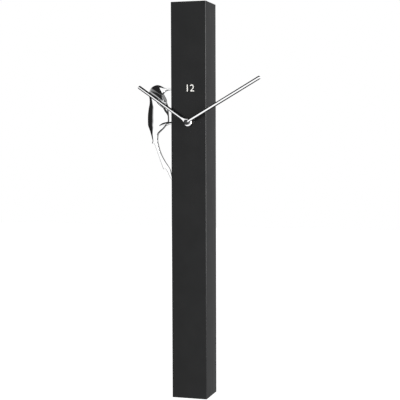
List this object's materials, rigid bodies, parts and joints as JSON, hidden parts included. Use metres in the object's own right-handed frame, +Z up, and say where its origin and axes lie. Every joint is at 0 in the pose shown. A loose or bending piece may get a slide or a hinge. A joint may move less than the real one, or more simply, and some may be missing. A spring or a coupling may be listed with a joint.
{
  "type": "wall-hung pendulum clock",
  "caption": "Slim square black column clock with two chrome rod hands and a chrome bird that rocks at its left side as the pendulum.",
  "frame": {"origin": "where the wall screw's neck holds the keyhole hanger, on the wall plane", "axes": "+Z up, -Y out from the wall towards the viewer, +X to the viewer's right"},
  "size_m": [0.2244, 0.0824, 0.7],
  "materials": {
    "case_lacquer": "black satin lacquer on board",
    "hand_chrome": "mirror chrome plating",
    "bird_chrome": "mirror chrome plating on moulded halves",
    "aluminium": "satin",
    "steel": "bright zinc",
    "brass": "turned",
    "raw_wood": "planed, unfinished",
    "black_plastic": "moulded",
    "white_plastic": "moulded",
    "black_rubber": "matt",
    "copper_coil": "enamelled copper wire winding",
    "green_board": "green solder mask",
    "battery_jacket": "printed can, plain bands",
    "magnet_steel": "nickel plated"
  },
  "bodies": {
    "case": {"case_shell": "case_lacquer", "top_board": "case_lacquer", "bottom_board": "case_lacquer", "rear_panel": "case_lacquer", "batten_left": "raw_wood", "batten_right": "raw_wood", "pivot_block": "raw_wood", "case_hinge_leaf": "steel", "door_hinge_pin": "steel", "hanger_plate": "steel", "hanger_screw_left": "steel", "hanger_screw_right": "steel", "panel_screw_lower_left": "steel", "panel_screw_lower_right": "steel", "panel_screw_upper_left": "steel", "panel_screw_upper_right": "steel", "stator": "steel", "quartz_crystal": "steel", "contact_plus": "steel", "contact_minus": "steel", "pivot_pin": "steel", "pivot_clip": "steel", "bush_nut": "steel", "wall_bumper_left": "black_rubber", "wall_bumper_right": "black_rubber", "slot_grommet": "black_rubber", "rubber_washer": "black_rubber", "movement_housing": "black_plastic", "movement_cover": "white_plastic", "threaded_bush": "brass", "brass_washer": "brass", "rotor": "magnet_steel", "drive_coil": "copper_coil", "swing_coil": "copper_coil", "circuit_board": "green_board"},
    "minute": {"minute_arbor": "steel", "centre_wheel": "brass", "minute_hand": "hand_chrome", "hand_nut": "black_plastic"},
    "hour": {"hour_wheel": "white_plastic", "hour_hand": "hand_chrome"},
    "motion": {"motion_wheel": "white_plastic"},
    "setter": {"setting_knob": "white_plastic"},
    "third": {"third_wheel": "white_plastic"},
    "second": {"second_wheel": "white_plastic"},
    "pendulum": {"rocker_plate": "aluminium", "rocker_bearing": "brass", "pendulum_rod": "steel", "pendulum_bob": "brass", "rating_nut": "brass", "counterweight": "steel", "swing_magnet": "magnet_steel", "bird_leg": "hand_chrome", "bird_front_half": "bird_chrome", "bird_rear_half": "bird_chrome"},
    "door": {"battery_door": "case_lacquer", "door_knob": "black_plastic", "door_hinge_leaf": "steel"},
    "cell": {"battery": "battery_jacket"}
  },
  "joints": [
    {"name": "minute_spin", "type": "hinge", "parent": "case", "child": "minute", "pos_m": [0, -0.0776, -0.1705], "axis": [0, 1, 0], "continuous": true},
    {"name": "hour_spin", "type": "hinge", "parent": "case", "child": "hour", "pos_m": [0, -0.0709, -0.1705], "axis": [0, 1, 0], "continuous": true},
    {"name": "motion_spin", "type": "hinge", "parent": "case", "child": "motion", "pos_m": [-0.006, -0.0558, -0.18089], "axis": [0, 1, 0], "continuous": true},
    {"name": "setter_spin", "type": "hinge", "parent": "case", "child": "setter", "pos_m": [-0.01728, -0.0442, -0.185], "axis": [0, 1, 0], "continuous": true},
    {"name": "third_spin", "type": "hinge", "parent": "case", "child": "third", "pos_m": [0.01015, -0.0532, -0.17419], "axis": [0, 1, 0], "continuous": true},
    {"name": "second_spin", "type": "hinge", "parent": "case", "child": "second", "pos_m": [0.01303, -0.0513, -0.1821], "axis": [0, 1, 0], "continuous": true},
    {"name": "bird_swing", "type": "hinge", "parent": "case", "child": "pendulum", "pos_m": [0, -0.0335, -0.1705], "axis": [0, 1, 0], "range_deg": [-4, 4]},
    {"name": "door_hinge", "type": "hinge", "parent": "case", "child": "door", "pos_m": [0.02325, -0.0027, -0.1685], "axis": [0, 0, -1], "range_deg": [0, 100]},
    {"name": "battery_slide", "type": "slide", "parent": "case", "child": "cell", "axis": [0, 1, 0], "range_m": [0, 0.016]}
  ],
  "couplings": [
    {"joint": "hour_spin", "follows": "minute_spin", "ratio": 0.083333},
    {"joint": "motion_spin", "follows": "minute_spin", "ratio": -0.33333},
    {"joint": "setter_spin", "follows": "minute_spin", "ratio": 1},
    {"joint": "third_spin", "follows": "minute_spin", "ratio": -8},
    {"joint": "second_spin", "follows": "minute_spin", "ratio": 60}
  ]
}
